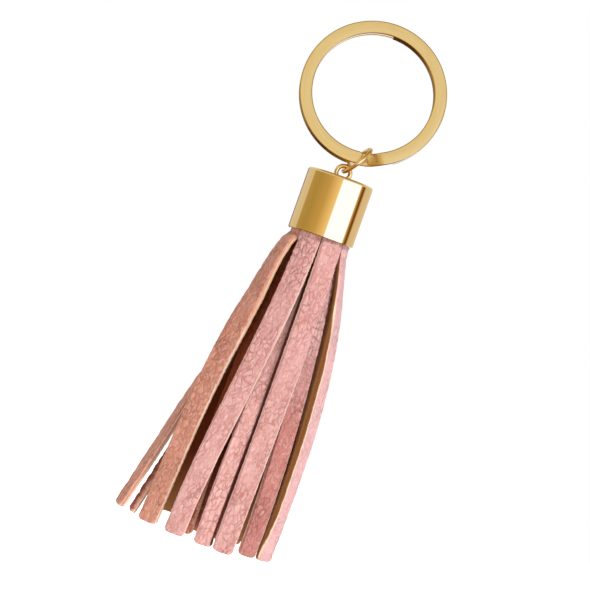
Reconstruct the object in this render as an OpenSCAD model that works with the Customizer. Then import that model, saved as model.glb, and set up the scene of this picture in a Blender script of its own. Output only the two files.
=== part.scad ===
// Tassel key ring, hanging from its split ring. Millimetres, +Z up, front facing -Y.
// The origin is the centre of the split ring. The tassel hangs from the ring's lowest point.

/* [Split ring] */
// Outside diameter of the split ring
ring_od = 32; // [28:0.5:36]
// Radial width of its flat wire
ring_w = 2.8; // [2.4:0.1:3]
// Thickness over both turns of the wire
ring_t = 2.6; // [2.2:0.1:2.8]
// Gap between the two turns
ring_gap = 0.1; // [0.05:0.05:0.2]
// Lean of the ring, with its bottom forward
ring_lean = 8; // [0:1:12]

/* [Jump ring] */
// Mean diameter of the jump ring
jump_d = 7.4; // [7.2:0.1:7.8]
// Diameter of the wire of the jump ring and of the eye
wire_d = 0.95; // [0.8:0.05:1]
// Lean of the jump ring, up from the horizontal
jump_lean = 58; // [57:1:64]
// Turn of the jump ring about its own long direction
jump_turn = 10; // [0:1:12]

/* [Cap] */
// Outside diameter of the cap
cap_d = 14.8; // [14:0.1:16]
// Height of the cap
cap_h = 13.7; // [12:0.1:16]
// Wall thickness of the cap's side
cap_wall = 0.7; // [0.5:0.1:0.7]
// Thickness of the cap's top
cap_top_t = 0.9; // [0.8:0.1:1]
// Depth of the cap's top below the middle of the wire where it hangs
cap_drop = 5; // [5:0.1:5.4]
// Sideways place of the cap's axis, where it hangs from the jump ring
cap_x = -0.35; // [-0.5:0.05:-0.2]

/* [Eye screw] */
// Mean diameter of the eye
eye_d = 3.04; // [3:0.02:3.1]
// Height of the eye's centre above the cap
eye_z = 1.1; // [1:0.05:1.2]
// Diameter of the shank
shank_d = 1.94; // [1.8:0.02:1.96]

/* [Leather] */
// Thickness of the leather
leather_t = 1.1; // [0.9:0.05:1.15]
// Distance from one turn of the rolled header to the next
roll_pitch = 1.3; // [1.3:0.05:1.4]
// Mean radius of the outermost turn
roll_r = 5.95; // [5.8:0.05:5.95]
// Width of an outer strand
strand_w = 5; // [4.6:0.1:5]
// Width of an outer strand at its tip
tip_w = 4.4; // [4:0.1:5]
// Width of the strands of the two inner turns
inner_w = 4.5; // [4:0.1:4.5]
// Depth of the strands' tops below the cap's rim, which lets them turn
strand_drop = 0.9; // [0.9:0.1:1.2]

/* [Hidden] */
$fn = 96;
eps = 0.01;

// Split ring: the wire passes from the front turn to the back one in a short jog near the bottom
ring_r = ring_od / 2;
ring_mid = ring_r - ring_w / 2;
ring_chamfer = 0.25;
front_end = -80;    // angle of the front turn's free end
jog_back = -76.5;   // where the wire lies wholly in the back turn
jog_front = -62;    // where it lies wholly in the front turn
back_end = -58.5;   // angle of the back turn's free end

// Where the tassel hangs: the middle of the wire at the bottom of the leaning ring
hang_y = -ring_mid * sin(ring_lean);
hang_z = -ring_mid * cos(ring_lean);

// Jump ring: its wire runs through the eye this far above the cap
contact_z = 1.45;
jump_slit = 1;      // degrees open at the butt joint

// Cap
cap_top = hang_z - cap_drop;
cap_rim = cap_top - cap_h;
cap_edge_r = 0.9;
cap_hole_d = 3.7;

// Washer and nut on the eye's shank, under the cap's top
washer_d = 7;
washer_t = 0.5;
nut_af = 4;
nut_t = 1.6;
bore_d = 2;
shank_tail = 1;
nut_top = -cap_top_t - washer_t;      // heights from here on are from the cap's top
shank_end = nut_top - nut_t - shank_tail;

// Rolled header, below the shank
roll_top = shank_end - 0.3;
roll_half_turns = 6;

// Strands. Each row: name, turn of the roll (0 is outermost), bearing at the rim, then the
// centre [x, y] near the rim, half way and at the tip, the length, the bearing at the tip, and
// the depth by which it has turned to that bearing. Bearings are degrees from the front (-Y)
// towards +X, and [x, y] is from the tassel's axis.
NEAR = 18;
HALF = 45;
STRANDS = [
    ["strand_a1", 0,  -22, [-3.3, -8.3], [-6.5, -9.2], [-8.5, -9.4], 68.6, -5, 36],
    ["strand_a2", 0,   29, [3.1, -8.3], [2.9, -9.5], [2.5, -9.8], 68.9, 4, 36],
    ["strand_a3", 0,   81, [9.4, -2.4], [11.6, -3.7], [11.5, -3.6], 68.4, 50, 36],
    ["strand_a4", 0,  132, [7.4, 6.2], [9.8, 6.8], [10.0, 7.6], 68.2, 128, 36],
    ["strand_a5", 0,  184, [-0.8, 8.8], [-2.2, 10.2], [-3.4, 10.6], 68.8, 186, 36],
    ["strand_a6", 0,  235, [-9.6, 4.2], [-16.3, 2.2], [-21.7, 0.2], 67.8, 290, 48],
    ["strand_a7", 0,  -73, [-10.0, -4.9], [-13.2, -5.8], [-14.7, -5.6], 68.5, -24, 36],
    ["strand_b1", 1,    0, [-0.5, -6.1], [-1.6, -8.0], [-2.0, -8.5], 68.9, 0, 36],
    ["strand_b2", 1,   60, [5.4, -4.5], [7.3, -6.8], [7.6, -7.2], 68.2, 18, 36],
    ["strand_b3", 1,  120, [6.2, 2.6], [9.2, 1.6], [10.2, 1.8], 67.4, 92, 36],
    ["strand_b4", 1,  180, [2.1, 6.4], [3.4, 7.6], [3.8, 8.6], 68.4, 165, 36],
    ["strand_b5", 1,  240, [-6.9, 1.4], [-13.1, -0.6], [-18.8, 0.6], 68.2, 282, 66],
    ["strand_b6", 1,  -60, [-5.6, -4.2], [-6.9, -6.0], [-6.8, -6.4], 68, -15, 36],
    ["strand_c1", 2,   45, [2.4, -2.6], [2.2, -4.9], [2.0, -5.6], 67.6, 12, 36],
    ["strand_c2", 2,  135, [2.6, 2.4], [5.0, 3.0], [6.0, 3.6], 66.8, 130, 36],
    ["strand_c3", 2,  225, [-3.4, 3.7], [-10.6, 5.2], [-11.8, 5.8], 66.2, 206, 36],
    ["strand_c4", 2,  -45, [-2.6, -2.4], [-3.6, -3.4], [-4.2, -3.8], 66.6, -20, 36]];
RINGS = 13;         // cross-sections along a strand
ACROSS = 4;         // facets across a strand
CURL_END = 26;      // below this a strand's cross-section is nearly flat
FLAT_CURL_R = 45;   // its radius there

gold = "gold";
steel = "silver";
pink = "lightpink";

// ---- hardware ----

module ring_profile() {
    c = ring_chamfer;
    w = ring_w;
    h = ring_t / 2;
    translate([ring_r - w, 0])
        polygon([[c, -h], [w - c, -h], [w, -h + c], [w, h - c], [w - c, h], [c, h], [0, h - c], [0, -h + c]]);
}

// A prism for cutting the wire at the jog. Each point of its outline is [angle along the wire,
// distance across the turns].
module jog_cut(outline) {
    jog_mid = (front_end + back_end) / 2;
    rotate([0, -jog_mid, 0])
        translate([ring_r - ring_w - 1, 0, 0])
            rotate([0, 90, 0])
                linear_extrude(ring_w + 2)
                    polygon([for (p = outline) [-ring_mid * sin(p[0] - jog_mid), p[1]]]);
}

module split_ring() {
    h = ring_t / 2;
    g = ring_gap / 2;
    far = ring_t;
    color(gold) rotate([-ring_lean, 0, 0]) difference() {
        rotate([90, 0, 0]) rotate_extrude($fn = 180) ring_profile();
        rotate([90, 0, 0])
            rotate([0, 0, back_end])
                rotate_extrude(angle = 360 + front_end - back_end, $fn = 180)
                    translate([ring_r - ring_w - 1, -g]) square([ring_w + 2, ring_gap]);
        jog_cut([[front_end, -far], [front_end, g], [jog_back, g], [jog_front, -h], [jog_front, -far]]);
        jog_cut([[jog_back, h], [jog_front, -g], [back_end, -g], [back_end, far], [jog_back, far]]);
    }
}

// Places its children on the tassel's axis, z above the cap's top
module on_axis(z) {
    translate([cap_x, hang_y, cap_top + z]) children();
}

module jump_ring() {
    color(gold) on_axis(contact_z)
        rotate([0, -jump_lean, 0]) rotate([jump_turn, 0, 0])
            translate([jump_d / 2, 0, 0])
                rotate([0, 0, 100])
                    rotate_extrude(angle = 360 - jump_slit)
                        translate([jump_d / 2, 0]) circle(d = wire_d, $fn = 32);
}

module eye_screw() {
    color(gold) {
        on_axis(eye_z) rotate([90, 0, 0])
            rotate_extrude() translate([eye_d / 2, 0]) circle(d = wire_d, $fn = 32);
        on_axis(shank_end) cylinder(d = shank_d, h = eye_z - eye_d / 2 - shank_end);
    }
}

module cap() {
    r = cap_d / 2;
    inner = r - cap_wall;
    corner = [for (a = [0:15:90]) [r - cap_edge_r + cap_edge_r * cos(a), -cap_edge_r + cap_edge_r * sin(a)]];
    lip = 0.2;
    color(gold) on_axis(0)
        rotate_extrude()
            polygon(concat(
                [[cap_hole_d / 2, -cap_top_t], [inner, -cap_top_t], [inner, -cap_h + lip],
                 [inner + lip, -cap_h], [r - lip, -cap_h], [r, -cap_h + lip]],
                corner,
                [[cap_hole_d / 2, 0]]));
}

module cap_washer() {
    color(steel) on_axis(nut_top) difference() {
        cylinder(d = washer_d, h = washer_t);
        translate([0, 0, -eps]) cylinder(d = bore_d, h = washer_t + 2 * eps);
    }
}

module cap_nut() {
    color(steel) on_axis(nut_top - nut_t) difference() {
        cylinder(d = nut_af / cos(30), h = nut_t, $fn = 6);
        translate([0, 0, -eps]) cylinder(d = bore_d, h = nut_t + 2 * eps);
    }
}

// The uncut header band, rolled up: half turns about two centres make a spiral
module header_roll() {
    shift = roll_pitch / 4;
    color(pink) on_axis(-cap_h)
        for (i = [0:roll_half_turns - 1]) {
            r = roll_r - shift - i * roll_pitch / 2;
            side = i % 2;
            translate([side == 0 ? shift : -shift, 0, 0])
                rotate([0, 0, side * 180])
                    rotate_extrude(angle = 180) translate([r - leather_t / 2, 0]) square([leather_t, cap_h + roll_top]);
        }
}

// ---- leather strands ----

function strand_row(name) = [for (s = STRANDS) if (s[0] == name) s][0];

// The smooth curve through four values a, b, c, d at depths 0, NEAR, HALF and end
function through(a, b, c, d, end, s) =
    a * (s - NEAR) * (s - HALF) * (s - end) / (-NEAR * HALF * end)
    + b * s * (s - HALF) * (s - end) / (NEAR * (NEAR - HALF) * (NEAR - end))
    + c * s * (s - NEAR) * (s - end) / (HALF * (HALF - NEAR) * (HALF - end))
    + d * s * (s - NEAR) * (s - HALF) / (end * (end - NEAR) * (end - HALF));

function turn_r(turn) = roll_r - turn * roll_pitch;
function tip_bearing(row) = row[7] - (row[7] - row[2] > 180 ? 360 : 0);
function bearing(row, s) =
    let (u = min(1, s / row[8])) row[2] + (tip_bearing(row) - row[2]) * u * u * (3 - 2 * u);
function section_r(turn, s) =
    s < CURL_END ? 1 / ((1 / turn_r(turn)) * pow(1 - s / CURL_END, 2) + 1 / FLAT_CURL_R) : FLAT_CURL_R;

// Centre of a strand at depth s below its top
function strand_at(row, s) =
    let (r = turn_r(row[1]), top = [r * sin(row[2]), -r * cos(row[2])])
    [for (k = [0, 1]) through(top[k], row[3][k], row[4][k], row[5][k], row[6], s)];

// One cross-section: the grain side from left to right, then the flesh side back
function section(row, s) =
    let (c = strand_at(row, s), b = bearing(row, s), r = section_r(row[1], s),
         w = (row[1] == 0 ? strand_w : inner_w) * (1 - (1 - tip_w / strand_w) * s / row[6]),
         half = [for (i = [0:ACROSS]) (i / ACROSS - 0.5) * w],
         z = cap_rim - strand_drop - s)
    [for (side = [1, -1]) for (i = [0:ACROSS])
        let (a = half[side > 0 ? i : ACROSS - i] / r * 180 / PI, rr = r + side * leather_t / 2,
             t = rr * sin(a), n = rr * cos(a) - r)
        [cap_x + c[0] + t * cos(b) + n * sin(b), hang_y + c[1] + t * sin(b) - n * cos(b), z]];

module strand(name) {
    row = strand_row(name);
    count = 2 * (ACROSS + 1);
    points = [for (j = [0:RINGS - 1]) for (p = section(row, row[6] * pow(j / (RINGS - 1), 1.3))) p];
    sides = [for (j = [0:RINGS - 2]) for (i = [0:count - 1])
        let (a = j * count + i, b = j * count + (i + 1) % count)
        each [[a, b, b + count], [a, b + count, a + count]]];
    ends = [for (j = [0, RINGS - 1]) for (i = [0:ACROSS - 1])
        let (a = j * count + i, b = j * count + count - 1 - i)
        each j == 0 ? [[a, b, b - 1], [a, b - 1, a + 1]] : [[a, b - 1, b], [a, a + 1, b - 1]]];
    color(pink) polyhedron(points, concat(sides, ends));
}

split_ring();
jump_ring();
eye_screw();
cap();
cap_washer();
cap_nut();
header_roll();
for (s = STRANDS) strand(s[0]);
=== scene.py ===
"""Looks of the leather tassel key ring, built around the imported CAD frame."""

import math

import bpy
import numpy as np
from mathutils import Matrix, Vector


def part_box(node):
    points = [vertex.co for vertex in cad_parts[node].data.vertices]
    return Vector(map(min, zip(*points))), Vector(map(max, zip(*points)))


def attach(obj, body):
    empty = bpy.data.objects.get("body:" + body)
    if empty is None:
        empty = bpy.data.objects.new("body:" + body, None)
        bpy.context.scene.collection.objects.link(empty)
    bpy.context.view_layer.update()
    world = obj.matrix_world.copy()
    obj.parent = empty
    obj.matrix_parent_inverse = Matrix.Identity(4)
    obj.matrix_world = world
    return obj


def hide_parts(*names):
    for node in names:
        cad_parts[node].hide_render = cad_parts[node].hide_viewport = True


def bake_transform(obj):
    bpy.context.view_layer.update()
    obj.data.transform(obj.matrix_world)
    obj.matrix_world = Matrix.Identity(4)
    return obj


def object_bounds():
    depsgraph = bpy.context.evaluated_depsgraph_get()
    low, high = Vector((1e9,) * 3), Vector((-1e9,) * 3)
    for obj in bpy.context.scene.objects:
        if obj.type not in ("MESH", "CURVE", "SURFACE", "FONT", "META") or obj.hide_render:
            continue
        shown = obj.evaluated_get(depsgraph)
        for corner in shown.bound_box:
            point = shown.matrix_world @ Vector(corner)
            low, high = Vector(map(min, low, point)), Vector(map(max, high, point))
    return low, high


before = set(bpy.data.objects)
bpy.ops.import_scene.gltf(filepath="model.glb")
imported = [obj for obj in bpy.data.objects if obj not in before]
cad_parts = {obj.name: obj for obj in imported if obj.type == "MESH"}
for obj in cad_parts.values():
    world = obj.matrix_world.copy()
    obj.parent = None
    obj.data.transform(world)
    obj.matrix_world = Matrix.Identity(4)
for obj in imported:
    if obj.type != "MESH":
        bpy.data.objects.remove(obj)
cad_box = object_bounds()

MM = 0.001
CM = 10       # millimetres to a centimetre, the unit of flat coordinates

# ---- sizes that the CAD source sets, in millimetres and degrees ----

RING_R = (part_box("split_ring")[1].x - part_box("split_ring")[0].x) / 2 / MM
RING_W = 2.8
RING_T = 2.6          # over both turns of its wire, with the gap between them
RING_GAP = 0.1
RING_LEAN = math.radians(8)
# angles along the split ring's wire: its free ends, and the jog between its turns
FRONT_END, JOG_BACK, JOG_FRONT, BACK_END = -80, -76.5, -62, -58.5

WIRE_D = 0.95         # the wire of the jump ring and of the eye
JUMP_D = 7.4
JUMP_LEAN = math.radians(58)
JUMP_TURN = math.radians(10)
CONTACT_Z = 1.45      # how far above the cap the jump ring runs through the eye

CAP_LOW, CAP_HIGH = (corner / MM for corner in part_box("cap"))
CAP_R = (CAP_HIGH.x - CAP_LOW.x) / 2
CAP_X = (CAP_HIGH.x + CAP_LOW.x) / 2
CAP_Y = (CAP_HIGH.y + CAP_LOW.y) / 2
CAP_TOP, CAP_RIM = CAP_HIGH.z, CAP_LOW.z
CAP_WALL = 0.7
CAP_TOP_T = 0.9
CAP_HOLE_R = 1.85

EYE_D = 3.04
EYE_Z = 1.1           # heights of the eye's centre and of the shank's end, from the cap's top
SHANK_END = -4
SHANK_D = 1.94

LEATHER_T = 1.1

OUTER = ["strand_a%d" % i for i in range(1, 8)]
INNER = ["strand_b%d" % i for i in range(1, 7)] + ["strand_c%d" % i for i in range(1, 5)]

# ---- sizes of the metal that only the looks have, in millimetres ----

RING_EDGE_R = 0.24    # rounding of the split ring's wire
RING_END_R = 1.1      # rounding of its free ends, seen from the front
JUMP_START = 100.5    # degrees round the jump ring to its butt joint
JUMP_SLIT = 1.6       # degrees open at the joint
CAP_EDGE_R = 0.6      # rounding round the cap's top
CAP_BEAD_R = 0.3      # rounding of its rim
CAP_LIP_R = 0.22      # rounding into the hole in its top
CAP_CORNER_R = 0.5    # rounding inside, under its top


# ---- small helpers ----

def srgb(code):
    """A linear RGBA colour from a hex code."""
    values = [int(code[i:i + 2], 16) / 255 for i in (1, 3, 5)]
    return tuple(v / 12.92 if v <= 0.04045 else ((v + 0.055) / 1.055) ** 2.4 for v in values) + (1.0,)


def hash01(ix, iy, seed):
    """A fixed scatter of whole numbers over 0 to 1."""
    h = (ix.astype(np.int64) * 374761393 + iy.astype(np.int64) * 668265263 + seed * 974711) & 0xFFFFFFFF
    h = ((h ^ (h >> 13)) * 1274126177) & 0xFFFFFFFF
    return ((h ^ (h >> 16)) & 0xFFFFFF) / 0xFFFFFF


def soft_noise(x, y, seed):
    """Smooth noise from -1 to 1 with features one unit apart."""
    x, y = np.broadcast_arrays(np.asarray(x, float), np.asarray(y, float))
    ix, iy = np.floor(x), np.floor(y)
    fx, fy = x - ix, y - iy
    fx, fy = fx * fx * (3 - 2 * fx), fy * fy * (3 - 2 * fy)
    corner = [[hash01(ix + i, iy + j, seed) for j in (0, 1)] for i in (0, 1)]
    low = corner[0][0] * (1 - fy) + corner[0][1] * fy
    high = corner[1][0] * (1 - fy) + corner[1][1] * fy
    return (low * (1 - fx) + high * fx) * 2 - 1


def smoothstep(low, high, x):
    """An even rise from 0 where x is low to 1 where it is high."""
    t = np.clip((x - low) / (high - low), 0, 1)
    return t * t * (3 - 2 * t)


def unit(vectors):
    """Vectors scaled to length 1."""
    return vectors / np.maximum(np.linalg.norm(vectors, axis=-1, keepdims=True), 1e-9)


def lengths_along(points):
    """How far along a line of points each point lies."""
    return np.concatenate([[0], np.cumsum(np.linalg.norm(np.diff(points, axis=0), axis=1))])


def new_mesh(name, points, faces, materials, slots=None, uv=None, crease=None):
    """A mesh object from points in millimetres. uv and crease have one value for each point."""
    mesh = bpy.data.meshes.new(name)
    mesh.from_pydata((np.asarray(points) * MM).tolist(), [], faces)
    for material in materials:
        mesh.materials.append(material)
    if slots is not None:
        mesh.polygons.foreach_set("material_index", slots)
    if uv is not None:
        corners = np.zeros(len(mesh.loops), np.int32)
        mesh.loops.foreach_get("vertex_index", corners)
        layer = mesh.uv_layers.new(name="flat")
        layer.data.foreach_set("uv", np.asarray(uv, np.float32)[corners].ravel())
    if crease is not None:
        values = mesh.attributes.new("crease", "FLOAT", "POINT")
        values.data.foreach_set("value", np.asarray(crease, np.float32))
    mesh.shade_smooth()
    mesh.set_sharp_from_angle(angle=math.radians(48))
    mesh.validate()
    mesh.update()
    obj = bpy.data.objects.new(name, mesh)
    bpy.context.scene.collection.objects.link(obj)
    return obj


def tube_faces(rows, count, closed=False):
    """Quads of a tube made of rows of count points each. Unless it's closed, one face shuts each end."""
    faces = []
    for j in range(rows if closed else rows - 1):
        a, b = j * count, ((j + 1) % rows) * count
        for i in range(count):
            k = (i + 1) % count
            faces.append((a + i, a + k, b + k, b + i))
    if not closed:
        faces.append(tuple(reversed(range(count))))
        faces.append(tuple((rows - 1) * count + i for i in range(count)))
    return faces


# ---- shader nodes ----

def node_tree(name):
    """A new material with its node tree and its main shader."""
    material = bpy.data.materials.new(name)
    material.use_nodes = True
    tree = material.node_tree
    return material, tree, tree.nodes["Principled BSDF"]


def feed(tree, socket, value):
    """Link a socket to another one, or give it a constant."""
    if isinstance(value, bpy.types.NodeSocket):
        tree.links.new(value, socket)
    else:
        socket.default_value = value


def add(tree, kind, **inputs):
    """A new node with its inputs fed by name, with _ for a space."""
    node = tree.nodes.new(kind)
    for key, value in inputs.items():
        feed(tree, node.inputs[key.replace("_", " ")], value)
    return node


def math_node(tree, operation, a, b=0.0):
    """One step of arithmetic on sockets or constants."""
    node = tree.nodes.new("ShaderNodeMath")
    node.operation = operation
    for socket, value in zip(node.inputs, (a, b)):
        feed(tree, socket, value)
    return node.outputs[0]


def mix_colour(tree, factor, a, b):
    """Colour a where factor is 0, and b where it is 1."""
    node = tree.nodes.new("ShaderNodeMix")
    node.data_type = "RGBA"
    for socket, value in ((node.inputs[0], factor), (node.inputs[6], a), (node.inputs[7], b)):
        feed(tree, socket, value)
    return node.outputs[2]


def mapped(tree, source, low, high, to_low, to_high):
    """The source's range from low to high, stretched to another and cut off at its ends."""
    node = add(tree, "ShaderNodeMapRange", Value=source)
    for key, value in (("From Min", low), ("From Max", high), ("To Min", to_low), ("To Max", to_high)):
        node.inputs[key].default_value = value
    return node.outputs[0]


def flat_coordinates(tree, scale=(1, 1, 1)):
    """The piece's own flat coordinates, in centimetres, multiplied by scale."""
    uv = tree.nodes.new("ShaderNodeUVMap")
    uv.uv_map = "flat"
    mapping = add(tree, "ShaderNodeMapping", Vector=uv.outputs[0])
    mapping.inputs["Scale"].default_value = scale
    return mapping.outputs[0]


def flat_place(tree):
    """How far across a strand and how far down it a place is, in centimetres."""
    place = add(tree, "ShaderNodeSeparateXYZ", Vector=flat_coordinates(tree)).outputs
    return place[0], place[1]


def object_coordinates(tree):
    """Places on the object itself, in metres, for meshes without flat coordinates."""
    return tree.nodes.new("ShaderNodeTexCoord").outputs["Object"]


def crease_value(tree):
    """On the grain, 1 in a crease and -1 on a rim with a painted highlight. On a cut edge, 0 to 1 towards
    the flesh side.
    """
    node = tree.nodes.new("ShaderNodeAttribute")
    node.attribute_name = "crease"
    return node.outputs["Fac"]


def noise(tree, vector, scale, detail=4.0, roughness=0.55):
    """Cloudy noise around one half."""
    node = add(tree, "ShaderNodeTexNoise", Vector=vector, Scale=scale, Detail=detail, Roughness=roughness)
    return node.outputs["Fac"]


def cell_borders(tree, vector, scale):
    """How far each place is from the nearest border between scattered cells."""
    node = add(tree, "ShaderNodeTexVoronoi", Vector=vector, Scale=scale)
    node.feature = "DISTANCE_TO_EDGE"
    return node.outputs["Distance"]


def bump(tree, height, strength, distance, normal=None):
    """The normal of a surface raised by height, up to distance in metres, on top of another normal."""
    node = add(tree, "ShaderNodeBump", Height=height, Strength=strength, Distance=distance)
    if normal is not None:
        tree.links.new(normal, node.inputs["Normal"])
    return node.outputs[0]


# ---- metals ----

def gold(name, colour, dark, rough, streak, stretch, fleck):
    """Gold plate, with brush lines of strength streak, scaled by stretch, and nicks of strength fleck."""
    material, tree, shader = node_tree(name)
    lines = noise(tree, flat_coordinates(tree, stretch), 1.0, 3.0, 0.6)
    cloud = noise(tree, flat_coordinates(tree), 3.0, 3.0)
    nicks = noise(tree, flat_coordinates(tree, (9, 9, 1)), 6.0, 2.0)
    tone = mapped(tree, lines, 0.3, 0.7, 0, 1)
    base = mix_colour(tree, math_node(tree, "MULTIPLY", tone, streak), srgb(colour), srgb(dark))
    base = mix_colour(tree, mapped(tree, nicks, 0.68, 0.8, 0, fleck), base, srgb("#F0DFB4"))
    tree.links.new(base, shader.inputs["Base Color"])
    shader.inputs["Metallic"].default_value = 1.0
    spread = mapped(tree, math_node(tree, "ADD", lines, cloud), 0.7, 1.3, rough * 0.75, rough * 1.3)
    tree.links.new(spread, shader.inputs["Roughness"])
    tree.links.new(bump(tree, lines, 0.12 * streak + 0.01, 0.00003), shader.inputs["Normal"])
    return material


def plain_steel(name):
    """Zinc-plated washer and nut, hidden in the cap."""
    material, tree, shader = node_tree(name)
    cloud = noise(tree, object_coordinates(tree), 900.0, 4.0)
    tree.links.new(mix_colour(tree, cloud, srgb("#A9A9AD"), srgb("#C9C8C4")), shader.inputs["Base Color"])
    shader.inputs["Metallic"].default_value = 1.0
    tree.links.new(mapped(tree, cloud, 0.3, 0.7, 0.3, 0.5), shader.inputs["Roughness"])
    tree.links.new(bump(tree, cloud, 0.15, 0.00003), shader.inputs["Normal"])
    return material


# ---- leathers ----

def painted_shade_from_cap(tree, base, fade):
    """Painted shade on leather from the cap down, until the stretch fade, in centimetres, where it
    lightens.
    """
    down = flat_place(tree)[1]
    return mix_colour(tree, mapped(tree, down, *fade, 0.94, 0.0), base, srgb("#7A330F"))


def tucked_under(tree, base):
    """Deep shade beside the strand that lies over this one. Its limit moves out on the way down."""
    across, down = flat_place(tree)
    past = math_node(tree, "SUBTRACT", across, mapped(tree, down, 1.1, 4.3, 0.03, 0.15))
    return mix_colour(tree, mapped(tree, past, -0.008, 0.008, 0, 0.92), base, srgb("#5A1A0C"))


def fibres(tree):
    """Fibres of cut leather, drawn out along the strand."""
    return noise(tree, flat_coordinates(tree, (40, 12, 1)), 3.0, 4.0, 0.7)


def slanting_cut(tree, base):
    """A side cut on a slant, which shows brown flesh and a tan line beside the grain."""
    across, down = flat_place(tree)
    opening = mapped(tree, down, 0.8, 2.6, 0, 0.14)
    grown = math_node(tree, "MULTIPLY", opening, mapped(tree, down, 5.8, 7.0, 1, 0.2))
    inward = math_node(tree, "SUBTRACT", math_node(tree, "ADD", across, 0.25), grown)
    base = mix_colour(tree, mapped(tree, inward, -0.008, 0.008, 1, 0), base, srgb("#E6C9A8"))
    flesh = mix_colour(tree, mapped(tree, fibres(tree), 0.35, 0.7, 0, 1), srgb("#864F1C"), srgb("#64380F"))
    return mix_colour(tree, mapped(tree, inward, -0.046, -0.026, 1, 0), base, flesh)


def ridge_light_lines(tree):
    """Wandering lines over the grain, 1 on a line and 0 off it, painted lighter as highlights on ridges
    and used as a bump.
    """
    wander = add(tree, "ShaderNodeTexNoise", Vector=flat_coordinates(tree), Scale=7.0, Detail=3.0)
    push = add(tree, "ShaderNodeVectorMath", Vector=wander.outputs["Color"])
    push.operation = "SCALE"
    push.inputs["Scale"].default_value = 0.16
    sway = add(tree, "ShaderNodeVectorMath", Vector=flat_coordinates(tree, (1, 0.55, 1)))
    sway.operation = "ADD"
    tree.links.new(push.outputs[0], sway.inputs[1])
    return mapped(tree, cell_borders(tree, sway.outputs[0], 8.5), 0.0, 0.11, 1, 0)


def leather_grain(name, light, deep, fade=None, tucked=False, upper=None, slanting=False):
    """Pebbled grain side, light on the pebbles, deep in the creases as painted shade, and paler along its
    right rim as a painted highlight.

    fade is where its painted shade from the cap lightens, upper its light colour near the cap. tucked and
    slanting change its look along one side.
    """
    material, tree, shader = node_tree(name)
    light, deep = srgb(light), srgb(deep)
    painted_rim_light = mapped(tree, crease_value(tree), 0.0, -1.0, 0, 0.85)
    crease = mapped(tree, crease_value(tree), 0.0, 1.0, 0, 1)
    patch = noise(tree, flat_coordinates(tree), 2.2, 3.0)
    speck = noise(tree, flat_coordinates(tree), 60.0, 4.0, 0.7)
    ridge_lines = ridge_light_lines(tree)
    if upper:
        light = mix_colour(tree, mapped(tree, flat_place(tree)[1], 2.0, 4.0, 0, 1), srgb(upper), light)
    halfway = mix_colour(tree, 0.5, light, deep)
    tint = mix_colour(tree, mapped(tree, patch, 0.35, 0.65, 0, 0.3), light, halfway)
    tint = mix_colour(tree, mapped(tree, speck, 0.4, 0.75, 0, 0.3), tint, deep)
    # painted highlight: paler lines that stand in for the lit ridges of the relief
    thin = math_node(tree, "MULTIPLY", ridge_lines, mapped(tree, patch, 0.35, 0.6, 0.1, 0.42))
    tint = mix_colour(tree, thin, tint, mix_colour(tree, 0.5, light, srgb("#FFEAE0")))
    # painted shade: the creases darker
    tint = mix_colour(tree, math_node(tree, "MULTIPLY", crease, 0.75), tint, deep)
    # painted highlight along the right rim
    tint = mix_colour(tree, painted_rim_light, tint, srgb("#F6DCC8"))
    # painted shade near the cap
    if fade:
        tint = painted_shade_from_cap(tree, tint, fade)
    if tucked:
        tint = tucked_under(tree, tint)
    if slanting:
        tint = slanting_cut(tree, tint)
    tree.links.new(tint, shader.inputs["Base Color"])
    matt = mapped(tree, speck, 0.3, 0.7, 0.5, 0.66)
    rough = math_node(tree, "ADD", matt, math_node(tree, "MULTIPLY", crease, 0.15))
    tree.links.new(rough, shader.inputs["Roughness"])
    furrow = bump(tree, math_node(tree, "SUBTRACT", 1.0, crease), 1.0, 0.00018)
    ridged = bump(tree, ridge_lines, 0.7, 0.00009, furrow)
    pores = mapped(tree, cell_borders(tree, flat_coordinates(tree), 38.0), 0.0, 0.25, 0, 1)
    pored = bump(tree, pores, 0.25, 0.00004, ridged)
    tree.links.new(bump(tree, speck, 0.3, 0.00004, pored), shader.inputs["Normal"])
    shader.inputs["Specular IOR Level"].default_value = 0.1 if fade else 0.35
    shader.inputs["Sheen Weight"].default_value = 0.0 if fade else 0.08
    shader.inputs["Sheen Roughness"].default_value = 0.4
    return material


def leather_edge(name, pale, stain, brown, fade=None):
    """Raw cut edge: pale fibres with darker pits, browner towards the flesh side."""
    material, tree, shader = node_tree(name)
    fibre = fibres(tree)
    pits = noise(tree, flat_coordinates(tree), 30.0, 3.0)
    base = mix_colour(tree, mapped(tree, fibre, 0.35, 0.7, 0, 0.8), srgb(pale), srgb(stain))
    base = mix_colour(tree, mapped(tree, pits, 0.6, 0.75, 0, 0.5), base, srgb("#9A7350"))
    base = mix_colour(tree, mapped(tree, crease_value(tree), 0.25, 0.8, 0, 0.85), base, srgb(brown))
    # painted shade near the cap
    if fade:
        base = painted_shade_from_cap(tree, base, fade)
    tree.links.new(base, shader.inputs["Base Color"])
    shader.inputs["Roughness"].default_value = 0.92
    shader.inputs["Specular IOR Level"].default_value = 0.15
    shader.inputs["Sheen Weight"].default_value = 0.04 if fade else 0.25
    tree.links.new(bump(tree, fibre, 0.6, 0.00008), shader.inputs["Normal"])
    return material


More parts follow.
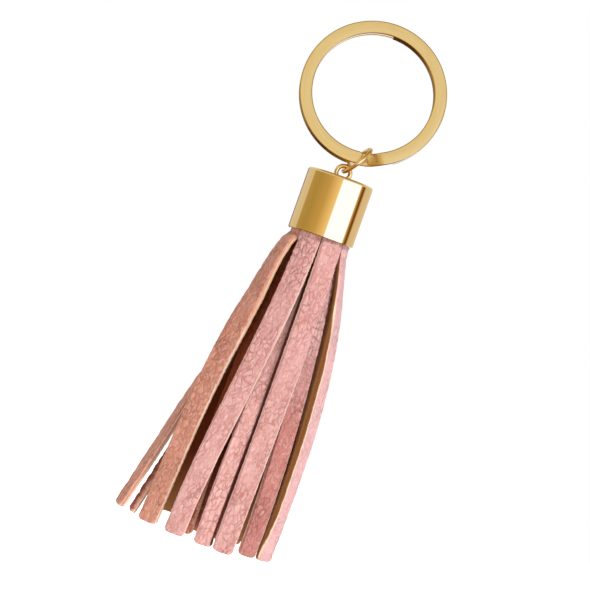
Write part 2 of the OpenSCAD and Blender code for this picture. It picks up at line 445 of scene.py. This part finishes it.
def leather_suede(name, light, dark, fade=None):
    """Raw flesh side: a short nap, lighter where it was brushed."""
    material, tree, shader = node_tree(name)
    nap = noise(tree, flat_coordinates(tree), 45.0, 5.0, 0.75)
    brushed = noise(tree, flat_coordinates(tree, (3, 0.6, 1)), 3.0, 3.0)
    base = mix_colour(tree, mapped(tree, nap, 0.35, 0.7, 0, 0.9), srgb(light), srgb(dark))
    base = mix_colour(tree, mapped(tree, brushed, 0.45, 0.7, 0, 0.5), base, srgb(light))
    # painted shade near the cap
    if fade:
        base = painted_shade_from_cap(tree, base, fade)
    tree.links.new(base, shader.inputs["Base Color"])
    shader.inputs["Roughness"].default_value = 0.96
    shader.inputs["Specular IOR Level"].default_value = 0.1
    shader.inputs["Sheen Weight"].default_value = 0.04 if fade else 0.35
    shader.inputs["Sheen Roughness"].default_value = 0.6
    tree.links.new(bump(tree, nap, 0.7, 0.0001), shader.inputs["Normal"])
    return material


def rolled_leather(name, light, deep):
    """The rolled header inside the cap, on its CAD mesh."""
    material, tree, shader = node_tree(name)
    place = object_coordinates(tree)
    edge = mapped(tree, cell_borders(tree, place, 900.0), 0.0, 0.2, 1, 0)
    speck = noise(tree, place, 4000.0, 4.0, 0.7)
    base = mix_colour(tree, edge, srgb(light), srgb(deep))
    base = mix_colour(tree, mapped(tree, speck, 0.4, 0.7, 0, 0.4), base, srgb(deep))
    tree.links.new(base, shader.inputs["Base Color"])
    tree.links.new(mapped(tree, speck, 0.3, 0.7, 0.6, 0.8), shader.inputs["Roughness"])
    return material


# ---- hardware ----

def rounded_profile(width, height, radius, steps=5):
    """A rectangle with rounded corners about the origin, as points anticlockwise."""
    points = []
    for cx, cy, start in ((1, 1, 0), (-1, 1, 90), (-1, -1, 180), (1, -1, 270)):
        for i in range(steps + 1):
            a = math.radians(start + 90 * i / steps)
            points.append((cx * (width / 2 - radius) + radius * math.cos(a),
                           cy * (height / 2 - radius) + radius * math.sin(a)))
    return np.array(points)


def split_ring_angles(start, stop, reach, body_steps=700, end_steps=9):
    """Angles of the wire's cross-sections, crowded over the reach where its free ends are rounded."""
    body = np.linspace(start + reach, stop - reach, body_steps)
    tip = reach * (1 - np.cos(np.linspace(0, math.pi / 2, end_steps)))
    return np.concatenate([start + tip[:-1], body, stop - tip[::-1][1:]])


def make_split_ring(satin, wall, rim):
    """One flat wire coiled twice: back turn, a jog, then the front turn, with rounded free ends."""
    turn_t = (RING_T - RING_GAP) / 2
    shift = (RING_T + RING_GAP) / 4
    mid = RING_R - RING_W / 2
    start, stop = BACK_END, FRONT_END + 720
    reach = math.degrees(RING_END_R / mid)
    angles = split_ring_angles(start, stop, reach)
    profile = rounded_profile(RING_W, turn_t, RING_EDGE_R)
    points, uv = [], []
    for angle in angles:
        near = min(angle - start, stop - angle) / reach
        cut = 0 if near >= 1 else RING_END_R * (1 - math.sqrt(max(0.0, 1 - (1 - near) ** 2)))
        narrow = 1 - 2 * cut / RING_W
        thin = 1 - 0.35 * cut / RING_END_R
        across = float(smoothstep(JOG_BACK + 360, JOG_FRONT + 360, angle))
        y0 = shift * (1 - 2 * across)
        c, s = math.cos(math.radians(angle)), math.sin(math.radians(angle))
        for (w, h), around in zip(profile, lengths_along(profile)):
            r = mid + w * narrow
            points.append((r * c, y0 + h * thin, r * s))
            uv.append((math.radians(angle) * mid / CM, around / CM))
    leaning = np.array(points) @ np.array(Matrix.Rotation(-RING_LEAN, 3, "X")).T
    corner = len(profile) // 4
    # the rounded edges take a darker gold, a painted shade
    column = np.full(len(profile), 2)              # rounded edges
    column[[corner - 1, 3 * corner - 1]] = 0       # broad faces
    column[[2 * corner - 1, -1]] = 1               # inner and outer walls
    slots = np.concatenate([np.tile(column, len(angles) - 1), [1, 1]])
    faces = tube_faces(len(angles), len(profile))
    ring = new_mesh("split_ring_wire", leaning, faces, [satin, wall, rim], slots, uv)
    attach(ring, "split_ring")
    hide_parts("split_ring")


def wire_loop(mean_d, matrix, start=0.0, sweep=360.0, steps=128, sides=24):
    """Points, faces and flat coordinates of a round wire bent to a circle, then placed by matrix."""
    closed = sweep >= 360
    angles = np.radians(start + np.linspace(0, sweep, steps, endpoint=not closed))
    end_trim = (0.8, 0.93)     # how much of its thickness the wire has at its cut ends
    points, uv = [], []
    for k, a in enumerate(angles):
        from_end = min(k, steps - 1 - k)
        trim = 1 if closed or from_end >= len(end_trim) else end_trim[from_end]
        for i in range(sides):
            b = 2 * math.pi * i / sides
            r = mean_d / 2 + WIRE_D / 2 * trim * math.cos(b)
            rise = WIRE_D / 2 * trim * math.sin(b)
            points.append(matrix @ Vector((r * math.cos(a), r * math.sin(a), rise)))
            uv.append((a * mean_d / 2 / CM, b * WIRE_D / 2 / CM))
    return points, tube_faces(steps, sides, closed), uv


def make_jump_ring(material):
    """The round-wire ring that links the split ring to the eye."""
    place = (Matrix.Translation((CAP_X, CAP_Y, CAP_TOP + CONTACT_Z))
             @ Matrix.Rotation(-JUMP_LEAN, 4, "Y") @ Matrix.Rotation(JUMP_TURN, 4, "X")
             @ Matrix.Translation((JUMP_D / 2, 0, 0)))
    points, faces, uv = wire_loop(JUMP_D, place, JUMP_START, 360 - JUMP_SLIT, 160)
    ring = new_mesh("jump_ring_wire", points, faces, [material], uv=uv)
    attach(ring, "jump_ring")
    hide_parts("jump_ring")


def make_eye_screw(material):
    """The eye's wire circle, and a straight shank down through the cap's top."""
    place = Matrix.Translation((CAP_X, CAP_Y, CAP_TOP + EYE_Z)) @ Matrix.Rotation(math.pi / 2, 4, "X")
    points, faces, uv = wire_loop(EYE_D, place, steps=96)
    top = EYE_Z - EYE_D / 2
    r = SHANK_D / 2
    sides = 48
    bevel, upper_bevel = 0.2, 0.15
    near_axis = 0.01
    rows = [(near_axis, SHANK_END), (r - bevel, SHANK_END), (r, SHANK_END + bevel),
            (r, top - upper_bevel), (r - upper_bevel, top), (near_axis, top)]
    base = len(points)
    for q, z in rows:
        for i in range(sides):
            a = 2 * math.pi * i / sides
            points.append((CAP_X + q * math.cos(a), CAP_Y + q * math.sin(a), CAP_TOP + z))
            uv.append((i / sides, z / CM))
    faces += [tuple(base + v for v in face) for face in tube_faces(len(rows), sides)]
    eye = new_mesh("eye_screw_wire", points, faces, [material], uv=uv)
    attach(eye, "tassel_head")
    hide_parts("eye_screw")


def arc(cx, cz, radius, start, stop, steps):
    """Points of an arc in the (r, z) plane, degrees."""
    return [(cx + radius * math.cos(math.radians(a)), cz + radius * math.sin(math.radians(a)))
            for a in np.linspace(start, stop, steps)]


def lathe(profile, steps, centre):
    """Points, faces and flat coordinates of a closed profile of (r, z) turned about the tassel's axis."""
    points, uv = [], []
    for k in range(steps):
        a = 2 * math.pi * k / steps
        for (r, z), along in zip(profile, lengths_along(profile)):
            points.append((centre.x + r * math.cos(a), centre.y + r * math.sin(a), centre.z + z))
            uv.append((math.sin(a) * CAP_R / CM + 2, along / CM))
    return points, tube_faces(steps, len(profile), closed=True), uv


def make_cap(material):
    """The cap as a thin bell, with a rounded top, a rolled rim and a lipped hole for the eye's shank."""
    height = CAP_TOP - CAP_RIM
    inner = CAP_R - CAP_WALL
    profile = (
        [(CAP_HOLE_R, -CAP_TOP_T), (inner - CAP_CORNER_R, -CAP_TOP_T)]
        + arc(inner - CAP_CORNER_R, -CAP_TOP_T - CAP_CORNER_R, CAP_CORNER_R, 90, 0, 6)
        + [(inner, -height / 2)]
        + arc(inner + CAP_BEAD_R, -height + CAP_BEAD_R, CAP_BEAD_R, 180, 270, 6)
        + arc(CAP_R - CAP_BEAD_R, -height + CAP_BEAD_R, CAP_BEAD_R, 270, 360, 6)
        + [(CAP_R, -height + k * height / 8) for k in range(1, 7)]
        + arc(CAP_R - CAP_EDGE_R, -CAP_EDGE_R, CAP_EDGE_R, 0, 90, 12)
        + [(CAP_HOLE_R + 1.5, 0)]
        + arc(CAP_HOLE_R + CAP_LIP_R, -CAP_LIP_R, CAP_LIP_R, 90, 180, 5))
    points, faces, uv = lathe(profile[::-1], 256, Vector((CAP_X, CAP_Y, CAP_TOP)))
    cap = new_mesh("cap_shell", points, faces, [material], uv=uv)
    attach(cap, "tassel_head")
    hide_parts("cap")


# ---- the leather's surface ----

GRAIN_COLS = 45
FLESH_COLS = 15
EDGE_ROWS = 3
ROW_STEP = 0.15
TOP_REACH = 1.5         # how far a strand runs up into the cap above its CAD solid
TIP_CORNER = 1.0        # corner radius of a cut tip
PEBBLE = 0.8            # size of a pebble
PEBBLE_DEPTH = 0.4      # its height above the creases
SHOULDER = 0.28         # how far the grain side rolls over at a cut edge
NAP = 0.03              # height of the suede's nap
DRAPE = 0.15            # how far a strand waves along its length

# columns of points from side to side, -1 to 1, closer together towards the grain's cut edges
CROWDING = math.pi / 2 * 0.8
GRAIN_ACROSS = np.sin(np.linspace(-1, 1, GRAIN_COLS) * CROWDING) / math.sin(CROWDING)
FLESH_ACROSS = np.linspace(1, -1, FLESH_COLS)


def cells(x, y, size, seed):
    """How far each place is from the middle of its cell, and from the nearest border between cells."""
    x, y = x / size, y / size
    ix, iy = np.floor(x), np.floor(y)
    first = np.full(x.shape, 9.0)
    second = np.full(x.shape, 9.0)
    for i in range(-2, 3):
        for j in range(-2, 3):
            px = ix + i + hash01(ix + i, iy + j, seed)
            py = iy + j + hash01(ix + i, iy + j, seed + 1)
            d = np.hypot(x - px, y - py)
            second = np.minimum(second, np.maximum(first, d))
            first = np.minimum(first, d)
    return first, second - first


def pebbles(x, y, seed):
    """Height from 0 to 1 of the pebbled grain, and how much of a crease each place is."""
    x = x + 0.5 * soft_noise(x * 0.9, y * 0.7, seed + 5) + 0.14 * soft_noise(x * 2.4, y * 2, seed + 8)
    y = (y + 0.55 * x + 0.5 * soft_noise(x * 0.9 + 40, y * 0.9, seed + 6)) / 2.5
    dome, big = cells(x, y, PEBBLE, seed)
    little, small = cells(x, y, PEBBLE * 0.6, seed + 3)
    depth = 0.6 + 0.4 * soft_noise(x * 0.6, y * 0.6, seed + 9)
    minor = 0.45 + 0.45 * soft_noise(x * 0.8 + 9, y * 0.8, seed + 10)
    main_crease = (1 - smoothstep(0.0, 0.3, big)) * depth
    minor_crease = (1 - smoothstep(0.0, 0.55, small)) * minor * 0.65
    height = 1 - 0.9 * dome**2 - 0.15 * minor * little**2 - 0.2 * depth * (1 - smoothstep(0.0, 0.4, big))
    return height, np.maximum(main_crease, minor_crease)


def ragged(s, seed):
    """How a cut side wavers down the strand, as a share of its half width."""
    return 0.018 * soft_noise(s * 1.7, 0, seed) + 0.01 * soft_noise(s * 5, 0, seed + 1)


# ---- strands ----

# Where strands differ from the rest. BULGE is how far one stands out below the cap, RELIEF how deep
# its grain is, and the table after it how bright the painted highlight along its right rim is and
# from how far down. FLARE lists its wider stretches: on which side, by how much, how far down and
# over what length.
BULGE = {"strand_a7": 0.7, "strand_a6": 0.4, "strand_a3": -0.2}
RELIEF = {"strand_a7": 0.65, "strand_a6": 0.35, "strand_a3": 0.45}
RIM_LIGHT = {"strand_a7": (0.9, 20), "strand_a2": (0.5, 24), "strand_a3": (0.2, -6)}
FLARE = {"strand_a6": [(1, 0.5, 58, 14)],
         "strand_a7": [(1, 0.8, 16, 14)],
         "strand_b6": [(-1, 1.3, 18, 8)],
         "strand_c3": [(1, 0.5, 31, 8), (-1, 0.9, 55, 8)]}
USUAL_RIM_LIGHT = (0.45, -6)


def cad_sections(name):
    """The CAD strand's cross-sections from the top down, as (rows, stations, flesh or grain, xyz)."""
    co = np.array([v.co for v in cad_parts[name].data.vertices]) / MM
    co = np.unique(np.round(co, 4), axis=0)
    depth = np.round(co[:, 2], 2)
    rows = []
    ahead = None
    for z in sorted(set(depth), reverse=True):
        ring = co[depth == z]
        middle = ring.mean(0)
        if ahead is None:
            out = middle[:2] - np.array([CAP_X, CAP_Y])
            out /= np.linalg.norm(out)
            ahead = np.array([-out[1], out[0]])
        flat = ring[:, :2] - middle[:2]
        main = np.linalg.svd(flat, full_matrices=False)[2][0]
        ahead = main if main @ ahead > 0 else -main
        out = np.array([ahead[1], -ahead[0]])
        pairs = ring[np.argsort(flat @ ahead)].reshape(-1, 2, 3)
        rows.append([pair[np.argsort(pair[:, :2] @ out)] for pair in pairs])
    return np.array(rows)


def along_rows(knots, values, at):
    """Smooth curves through values at knots, for each place in at."""
    slope = np.gradient(values, knots, axis=0)
    k = np.clip(np.searchsorted(knots, at, side="right") - 1, 0, len(knots) - 2)
    h = knots[k + 1] - knots[k]
    t = (at - knots[k]) / h
    shape = (-1,) + (1,) * (values.ndim - 1)
    t, h = t.reshape(shape), h.reshape(shape)
    return ((2 * t**3 - 3 * t**2 + 1) * values[k] + (t**3 - 2 * t**2 + t) * h * slope[k]
            + (-2 * t**3 + 3 * t**2) * values[k + 1] + (t**3 - t**2) * h * slope[k + 1])


def across_weights(u, stations):
    """How much each station counts at u, from -1 to 1 across the strand."""
    nodes = np.linspace(-1, 1, stations)
    weights = []
    for i in range(stations):
        others = [m for m in range(stations) if m != i]
        weights.append(np.prod([(u - nodes[m]) / (nodes[i] - nodes[m]) for m in others], axis=0))
    return np.stack(weights, -1)


class Strand:
    """A leather strand around its CAD solid: pebbled grain side, raw cut edges and suede back.

    s is how far down each row of points lies, and inside is the same kept within the CAD solid.
    """

    def __init__(self, name, seed, slant):
        self.name, self.seed, self.slant = name, seed, slant
        self.sections = cad_sections(name)
        self.mids = self.sections.mean(2)
        self.knots = self.mids[0, 0, 2] - self.mids[:, 0, 2]
        self.length = self.knots[-1]
        in_cap = -TOP_REACH * np.array([1, 0.66, 0.33])
        main = np.arange(0, self.length - TIP_CORNER, ROW_STEP)
        tip = self.length - TIP_CORNER + TIP_CORNER * np.sin(np.linspace(0, math.pi / 2, 9))
        self.s = np.concatenate([in_cap, main, tip])
        self.inside = np.clip(self.s, 0, self.length)
        self.left = self.length - self.inside
        half = np.linalg.norm(self.mids[:, -1] - self.mids[:, 0], axis=1) / 2
        self.width = along_rows(self.knots, half[:, None], self.inside)[:, 0]

    def places_across(self, columns):
        """Where columns lie from side to side, with ragged sides, a rounded tip and the flares."""
        rounding = TIP_CORNER - np.sqrt(np.clip(TIP_CORNER**2 - (TIP_CORNER - self.left) ** 2, 0, None))
        corner = np.where(self.left < TIP_CORNER, rounding, 0)
        limit = (1 - corner / self.width)[:, None]
        right, left = (ragged(self.s, self.seed + k)[:, None] for k in (20, 22))
        waver = smoothstep(0, 3, self.s)[:, None] * np.where(columns > 0, right, left)
        side = columns * (limit + waver)
        for sign, wider, middle, stretch in FLARE.get(self.name, []):
            extra = wider * np.exp(-((self.s - middle) / stretch) ** 2) / self.width
            side = side + sign * extra[:, None] * np.clip(sign * side, 0, 1)
        return side

    def sheet(self, columns):
        """Places on the middle surface at columns across, their outward directions and their x."""
        side = self.places_across(columns)
        weights = across_weights(side, self.mids.shape[1])
        surface = along_rows(self.knots, self.mids, self.inside)
        surface[:, :, 2] += (self.inside - self.s)[:, None]
        place = np.einsum("rcs,rsk->rck", weights, surface)
        ahead = np.gradient(place, axis=0)
        out = unit(np.cross(np.gradient(place, axis=1), ahead))
        through = along_rows(self.knots, self.sections[:, :, 1] - self.sections[:, :, 0], self.inside)
        towards = np.einsum("rcs,rsk->rck", weights, through)
        out *= np.sign((out * towards).sum(2, keepdims=True))
        skew = self.slant * side * smoothstep(self.length - 7, self.length, self.inside)[:, None]
        waving = soft_noise(self.s / 13, 0, self.seed + 30)
        wave = DRAPE * smoothstep(12, self.length, self.inside) * waving
        bulge = BULGE.get(self.name, 0) * smoothstep(-0.3, 2.5, self.s) * (1 - smoothstep(4, 17, self.s))
        place = place + skew[:, :, None] * unit(ahead) + out * (wave + bulge)[:, None, None]
        return place, out, side * self.width[:, None]

    def grain_side(self):
        """Points, flat coordinates and creases of the grain side. A crease below zero marks the painted
        highlight along the right rim.
        """
        place, out, x = self.sheet(GRAIN_ACROSS)
        y = np.repeat(self.s[:, None], GRAIN_COLS, 1)
        height, crease = pebbles(x + 50, y, self.seed)
        inset = np.where(x > 0, x[:, -1:], -x[:, :1]) - np.abs(x)
        shoulder = SHOULDER * (1 - smoothstep(0, 0.5, inset)) ** 1.5
        end = SHOULDER * (1 - smoothstep(0, 0.5, self.left))[:, None]
        relief = RELIEF.get(self.name, 1)
        grained = relief * PEBBLE_DEPTH * height * smoothstep(0, 0.35, inset)
        lift = LEATHER_T / 2 + 0.1 - 0.3 * relief + grained - np.maximum(shoulder, end)
        lift += 0.04 * soft_noise(x / 1.6, y / 2.5, self.seed + 12)
        rim_light, rim_light_from = RIM_LIGHT.get(self.name, USUAL_RIM_LIGHT)
        patchy = 0.8 + 0.3 * soft_noise(self.s / 1.5, 0, self.seed + 40)[:, None]
        # painted highlight: a paler line along the right rim only, the side the key light falls on
        rim = (GRAIN_ACROSS > 0) * (1 - smoothstep(0.1, 0.3, inset)) * patchy
        rim *= rim_light * smoothstep(rim_light_from, rim_light_from + 6, self.s)[:, None]
        creases = crease * smoothstep(0.1, 0.35, inset) - rim
        return place + out * lift[:, :, None], np.stack([x, y], 2) / CM, creases

    def flesh_side(self):
        """Points and flat coordinates of the suede side, and the middle line of the leather."""
        place, out, x = self.sheet(FLESH_ACROSS)
        y = np.repeat(self.s[:, None], FLESH_COLS, 1)
        fine = soft_noise(x * 4, y * 4, self.seed + 13)
        coarse = soft_noise(x * 1.5, y * 1.2, self.seed + 14)
        nap = NAP * fine + NAP * coarse
        points = place - out * (LEATHER_T / 2 - NAP + nap)[:, :, None]
        return points, np.stack([x, y], 2) / CM, place[:, FLESH_COLS // 2]

    def cut_edge(self, start, stop, start_uv, middle, way, k):
        """Points and flat coordinates between two sides, ragged and bulged away from the middle."""
        away = unit((start + stop) / 2 - middle)
        points, uv = [], []
        for i in range(1, EDGE_ROWS + 1):
            t = i / (EDGE_ROWS + 1)
            rough = 0.035 * soft_noise(self.s * 6, i * 3.7, self.seed + k) + 0.05 * math.sin(math.pi * t)
            points.append(start * (1 - t) + stop * t + away * rough[:, None])
            uv.append(start_uv + np.array([LEATHER_T / CM * t, 0]) * way)
        return np.stack(points, 1), np.stack(uv, 1)

    def build(self, body, materials):
        """The strand's mesh, riding on the cap where it has no body of its own, and left where it lies
        where it has one.
        """
        grain, grain_uv, creases = self.grain_side()
        flesh, flesh_uv, middle = self.flesh_side()
        right, right_uv = self.cut_edge(grain[:, -1], flesh[:, 0], grain_uv[:, -1], middle, 1, 41)
        left, left_uv = self.cut_edge(flesh[:, -1], grain[:, 0], flesh_uv[:, -1], middle, -1, 42)
        points = np.concatenate([grain, right, flesh, left], 1)
        uv = np.concatenate([grain_uv, right_uv, flesh_uv, left_uv], 1)
        rows, count = points.shape[:2]
        inward = np.linspace(0, 1, EDGE_ROWS + 2)[1:-1]
        round_edges = np.concatenate([inward, np.ones(FLESH_COLS), inward[::-1]])
        crease = np.concatenate([creases, np.tile(round_edges, (rows, 1))], 1)
        grain_slot, edge_slot, suede_slot = range(3)
        column = np.repeat([grain_slot, edge_slot, suede_slot, edge_slot],
                           [GRAIN_COLS - 1, EDGE_ROWS + 1, FLESH_COLS - 1, EDGE_ROWS + 1])
        slots = np.concatenate([np.tile(column, rows - 1), [edge_slot, edge_slot]])
        made = new_mesh(self.name.replace("strand", "leather"), points.reshape(-1, 3),
                        tube_faces(rows, count), materials, slots, uv.reshape(-1, 2), crease.ravel())
        if body:
            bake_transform(made)
        else:
            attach(made, "tassel_head")
        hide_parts(self.name)


def make_strands():
    """All the strands. Only the outer turn's splay. The inner ones have painted shade: darker tones,
    darker still near the cap.
    """
    inner_fade, tucked_fade = (5.2, 6.7), (6.6, 7.2)
    tones = {
        "rose": leather_grain("grain_rose", "#DBAAA2", "#A24A3C"),
        "salmon": leather_grain("grain_salmon", "#D5937A", "#8E4A34"),
        "dusky": leather_grain("grain_dusky", "#C98579", "#742820", upper="#DDADA5"),
        "pale": leather_grain("grain_pale", "#E0B2B0", "#BE807A", slanting=True),
        # painted shade: the strands inside take a darker copy of the leather, darker still near the cap
        "inner": leather_grain("grain_inner", "#C87E6A", "#7A3626", fade=inner_fade),
        # painted shade near the cap and beside the strand over it; its light tone is paler, a painted lift
        # against its shadow
        "tucked": leather_grain("grain_tucked", "#E8B6AE", "#A05448", fade=(0.5, 1.2), tucked=True),
    }
    edges = {
        "raw": leather_edge("cut_edge", "#F6DEC8", "#CFA583", "#7A4E2C"),
        "tan": leather_edge("cut_edge_tan", "#E3C5A4", "#C19A70", "#B98F62"),
        "flesh": leather_edge("cut_edge_flesh", "#94602E", "#744418", "#5E3410"),
        "dyed": leather_edge("cut_edge_dyed", "#CC8B72", "#B87460", "#F0DCC6"),
        # painted shade: darker cut edges for the strands inside, darker still near the cap
        "inner": leather_edge("cut_edge_inner", "#EACDB2", "#CFA583", "#7A4E2C", fade=inner_fade),
        "tucked": leather_edge("cut_edge_tucked", "#EACDB2", "#CFA583", "#7A4E2C", fade=tucked_fade),
    }
    suedes = {
        "outer": leather_suede("suede", "#B87E42", "#875426"),
        # painted shade: darker suede for the strands inside, darker still near the cap
        "inner": leather_suede("suede_inner", "#A8774C", "#74461F", fade=inner_fade),
    }
    # the tone and the cut edge of the strands that differ from the rest
    special = {"strand_a7": ("salmon", "tan"), "strand_a6": ("salmon", "dyed"),
               "strand_a3": ("pale", "flesh"), "strand_b1": ("tucked", "tucked"),
               "strand_b2": ("dusky", "raw")}
    for k, name in enumerate(OUTER + INNER):
        splays = name in OUTER
        tone, edge = special.get(name, ("rose", "raw") if splays else ("inner", "inner"))
        materials = [tones[tone], edges[edge], suedes["outer" if splays else "inner"]]
        strand = Strand(name, seed=100 + 17 * k, slant=0.35 * math.sin(2.3 * k + 1))
        strand.build(name if splays else None, materials)


# ---- stage ----

PANEL = 1.5      # how bright the soft box is in the metal
SOFT = 0.36      # how bright the studio is on what isn't metal
PALE, SHADE, GLOW = (0.81, 0.78, 0.73), (0.1, 0.05, 0.02), (1.0, 1.28, 2.3)

# What the metal mirrors, all round: degrees from the front towards the right, colour, how bright.
SURROUNDINGS = [
    (-180, SHADE, 0.6), (-165, SHADE, 1), (-158, (0.45, 0.3, 0.15), 1), (-148, PALE, 1), (-104, PALE, 1),
    (-100, (0.56, 0.42, 0.19), 1), (-70, (0.5, 0.39, 0.15), 1), (-30, (0.6, 0.44, 0.19), 1.1),
    (3, (0.8, 0.66, 0.4), 1.3), (6, (1.0, 0.85, 0.6), 1), (11, GLOW, PANEL), (76, GLOW, PANEL),
    (81, (0.74, 0.5, 0.24), 1), (89, (0.2, 0.1, 0.03), 1), (95, (0.14, 0.07, 0.02), 1),
    (99, (0.62, 0.42, 0.2), 1), (104, (0.84, 0.76, 0.7), 1), (150, (0.84, 0.78, 0.74), 1),
    (160, (1.25, 1.35, 1.7), 1), (180, (1.3, 1.45, 2.0), 1)]


def make_camera():
    """From the front, level, and rolled so that the tassel hangs down to the left."""
    target = Vector((-1.39, 0, -46.6)) * MM
    distance = 0.45
    roll = math.radians(19.5)
    data = bpy.data.cameras.new("camera")
    data.sensor_fit = "HORIZONTAL"
    data.angle = math.radians(16.14)
    data.clip_start = 0.01
    camera = bpy.data.objects.new("camera", data)
    bpy.context.scene.collection.objects.link(camera)
    right = Vector((math.cos(roll), 0, math.sin(roll)))
    up = Vector((-math.sin(roll), 0, math.cos(roll)))
    back = Vector((0, -1, 0))
    turn = Matrix((right, up, back)).transposed().to_4x4()
    camera.matrix_world = Matrix.Translation(target + back * distance) @ turn
    bpy.context.scene.camera = camera


def mirrored_studio(tree):
    """What metal mirrors: the surroundings level with it, plain above, and dark overhead and below."""
    direction = tree.nodes.new("ShaderNodeTexCoord").outputs["Generated"]
    parts = add(tree, "ShaderNodeSeparateXYZ", Vector=direction).outputs
    azimuth = math_node(tree, "ARCTAN2", parts[0], math_node(tree, "MULTIPLY", parts[1], -1.0))
    node = add(tree, "ShaderNodeValToRGB", Fac=mapped(tree, azimuth, -math.pi, math.pi, 0, 1))
    ramp = node.color_ramp
    ramp.elements.remove(ramp.elements[1])
    for k, (angle, colour, bright) in enumerate(SURROUNDINGS):
        place = (angle + 180) / 360
        stop = ramp.elements[0] if k == 0 else ramp.elements.new(place)
        stop.position = place
        stop.color = tuple(c * bright for c in colour) + (1,)
    mirrored = node.outputs[0]
    for low, high, to_low, to_high, beyond in (
            (0.12, 0.26, 0, 1, (0.84, 0.84, 0.78)),
            (0.62, 0.8, 0, 1, (0.5, 0.38, 0.2)),
            (-0.62, -0.48, 1, 0, SHADE)):
        share = mapped(tree, parts[2], low, high, to_low, to_high)
        mirrored = mix_colour(tree, share, mirrored, beyond + (1,))
    return mirrored


def make_world():
    """A white studio for the camera, an even soft light, and in the metal the mirrored studio."""
    world = bpy.data.worlds.new("studio")
    bpy.context.scene.world = world
    world.use_nodes = True
    tree = world.node_tree
    tree.nodes.clear()
    ray = tree.nodes.new("ShaderNodeLightPath").outputs
    light = mix_colour(tree, ray["Is Diffuse Ray"], mirrored_studio(tree), (SOFT, SOFT, SOFT, 1))
    light = mix_colour(tree, ray["Is Camera Ray"], light, (1, 1, 1, 1))
    shown = add(tree, "ShaderNodeBackground", Color=light, Strength=1.0)
    out = tree.nodes.new("ShaderNodeOutputWorld")
    tree.links.new(shown.outputs[0], out.inputs[0])


def make_lights():
    """Three soft lamps that the metal doesn't mirror, aimed at the tassel."""
    for name, place, size, power in (
            ("key", (0.32, -0.44, 0.44), 0.12, 4.1),
            ("fill", (-0.3, -0.7, 0.1), 0.5, 0.6),
            ("back", (-0.4, 0.6, 0.3), 0.4, 1.6)):
        data = bpy.data.lights.new(name, "AREA")
        data.size = size
        data.energy = power
        light = bpy.data.objects.new(name, data)
        light.location = place
        aim = Vector((0, 0, -0.05)) - Vector(place)
        light.rotation_euler = aim.to_track_quat("-Z", "Y").to_euler()
        light.visible_camera = False
        light.visible_glossy = False
        bpy.context.scene.collection.objects.link(light)


def make_floor():
    """A pale disc under the tassel that fades into the white studio."""
    material, tree, shader = node_tree("pale_floor")
    far = add(tree, "ShaderNodeVectorMath", Vector=object_coordinates(tree))
    far.operation = "LENGTH"
    alpha = mapped(tree, far.outputs["Value"], 0.18, 0.5, 1, 0)
    tree.links.new(alpha, shader.inputs["Alpha"])
    shader.inputs["Base Color"].default_value = (0.8, 0.8, 0.8, 1)
    shader.inputs["Emission Color"].default_value = (1, 1, 1, 1)
    shader.inputs["Emission Strength"].default_value = 0.85
    shader.inputs["Roughness"].default_value = 0.9
    sides, radius, below = 96, 600, 0.012
    angles = [2 * math.pi * i / sides for i in range(sides)]
    rim = [(radius * math.cos(a), radius * math.sin(a), 0) for a in angles]
    floor = new_mesh("floor", rim, [tuple(range(sides))], [material])
    floor.location.z = cad_box[0].z - below
    floor.visible_glossy = False


# ---- build ----

def make_hardware():
    """The gold ring, jump ring, eye and cap."""
    satin = gold("satin_gold", "#F6D796", "#E6C47F", 0.3, 0.6, (1.5, 22, 1), 0)
    wall = gold("ring_wall_gold", "#E2B970", "#DDB56C", 0.05, 0.3, (2, 20, 1), 0.05)
    # painted shade and reflection: a darker gold on the rounded edges of the split ring's wire, for the
    # dark outlines along them
    rim = gold("ring_rim_gold", "#C9A45C", "#A8843F", 0.2, 0.4, (1.5, 22, 1), 0)
    bright = gold("bright_gold", "#E6C27C", "#C99A4C", 0.06, 0.2, (1.0, 30, 1), 0.1)
    mirror = gold("mirror_gold", "#EACB8F", "#E2BF80", 0.06, 0.1, (6, 0.5, 1), 0.05)
    make_split_ring(satin, wall, rim)
    make_jump_ring(bright)
    make_eye_screw(bright)
    make_cap(mirror)


def dress_hidden_nodes():
    """Materials for the CAD nodes inside the cap, which keep their own meshes."""
    hidden = {"cap_washer": plain_steel("steel_washer"), "cap_nut": plain_steel("steel_nut"),
              "header_roll": rolled_leather("header_leather", "#D79C92", "#9C5A50")}
    for node, material in hidden.items():
        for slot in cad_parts[node].material_slots:
            slot.material = material


make_camera()
make_world()
make_lights()
make_floor()
bpy.context.scene.view_settings.view_transform = "Standard"

make_hardware()
dress_hidden_nodes()
make_strands()
